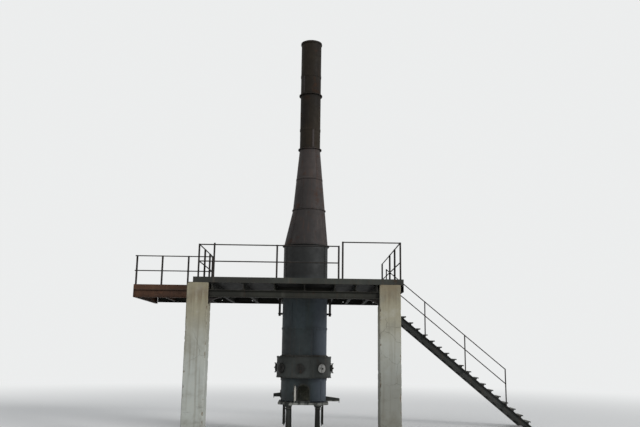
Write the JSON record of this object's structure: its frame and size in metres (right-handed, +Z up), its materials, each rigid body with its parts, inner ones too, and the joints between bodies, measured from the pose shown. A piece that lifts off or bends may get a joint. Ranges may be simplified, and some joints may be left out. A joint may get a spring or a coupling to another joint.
{
  "type": "cupola furnace with charging platform",
  "caption": "Foundry cupola furnace on columns, with wind box, drop-bottom doors, working door, hood and stack, inside its charging platform with pillars, railings, walkway and stair.",
  "frame": {"origin": "on the floor, on the furnace's vertical axis, in the middle of its foundation bolts", "axes": "+Z up, -Y towards the front with the working door, +X to the right towards the stair"},
  "size_m": [13.311, 6.05, 12.59],
  "materials": {
    "shell_steel": "sooty dark paint with rust",
    "wind_steel": "worn dark paint, dusty, rust at the flanges",
    "rusty_steel": "heat-scaled, brown rust",
    "cast_iron": "rough, oxidised",
    "cover_iron": "worn, pale dust",
    "firebrick": "burnt, slagged brick",
    "plaster": "dirty plastered masonry",
    "beam_steel": "dusty dark paint with rust",
    "deck_steel": "worn plate under dust",
    "rail_steel": "chipped black paint",
    "walkway_steel": "red-brown rust",
    "stair_steel": "dark paint, bright worn edges"
  },
  "bodies": {
    "plant": {"leg_front_left": "cast_iron", "leg_front_right": "cast_iron", "leg_rear_left": "cast_iron", "leg_rear_right": "cast_iron", "bottom_plate": "cast_iron", "well_shell": "shell_steel", "well_lining": "firebrick", "tap_block": "firebrick", "slag_block": "firebrick", "working_frame": "cast_iron", "tap_spout": "cast_iron", "slag_spout": "cast_iron", "wind_box": "wind_steel", "tuyere_covers": "cover_iron", "blast_inlet": "wind_steel", "shaft_shell": "shell_steel", "shaft_lining": "firebrick", "charging_shell": "shell_steel", "charging_lining": "firebrick", "charging_frame": "cast_iron", "hood": "rusty_steel", "hood_neck": "rusty_steel", "stack_lower": "rusty_steel", "stack_upper": "rusty_steel", "steady_bar_left": "rail_steel", "steady_bar_right": "rail_steel", "pillar_left": "plaster", "pillar_right": "plaster", "girder_seats": "rusty_steel", "front_girder": "beam_steel", "joists": "beam_steel", "trimmers": "beam_steel", "side_beam_left": "beam_steel", "side_beam_right": "beam_steel", "wall_beam": "beam_steel", "deck_left": "deck_steel", "deck_right": "deck_steel", "deck_front": "deck_steel", "deck_rear": "deck_steel", "toe_plates": "deck_steel", "railing_front": "rail_steel", "railing_gate": "rail_steel", "railing_left": "rail_steel", "railing_right": "rail_steel", "walkway_beam": "walkway_steel", "walkway_joists": "walkway_steel", "walkway_end_beam": "walkway_steel", "walkway_deck": "deck_steel", "walkway_toe_plate": "walkway_steel", "walkway_railing": "rail_steel", "stair_stringer_front": "stair_steel", "stair_stringer_rear": "stair_steel", "stair_treads": "stair_steel", "stair_railing": "rail_steel"},
    "working_door": {"working_door": "cast_iron"},
    "drop_door_left": {"drop_door_left": "cast_iron"},
    "drop_door_right": {"drop_door_right": "cast_iron"}
  },
  "joints": [
    {"name": "working_door_hinge", "type": "hinge", "parent": "plant", "child": "working_door", "pos_m": [-0.225, -0.752, 1.25], "axis": [0, 0, 1], "range_deg": [-60, 97]},
    {"name": "drop_door_left_hinge", "type": "hinge", "parent": "plant", "child": "drop_door_left", "pos_m": [-0.575, 0, 0.898], "axis": [0, -1, 0], "range_deg": [-25, 90]},
    {"name": "drop_door_right_hinge", "type": "hinge", "parent": "plant", "child": "drop_door_right", "pos_m": [0.575, 0, 0.898], "axis": [0, 1, 0], "range_deg": [-25, 90]}
  ]
}
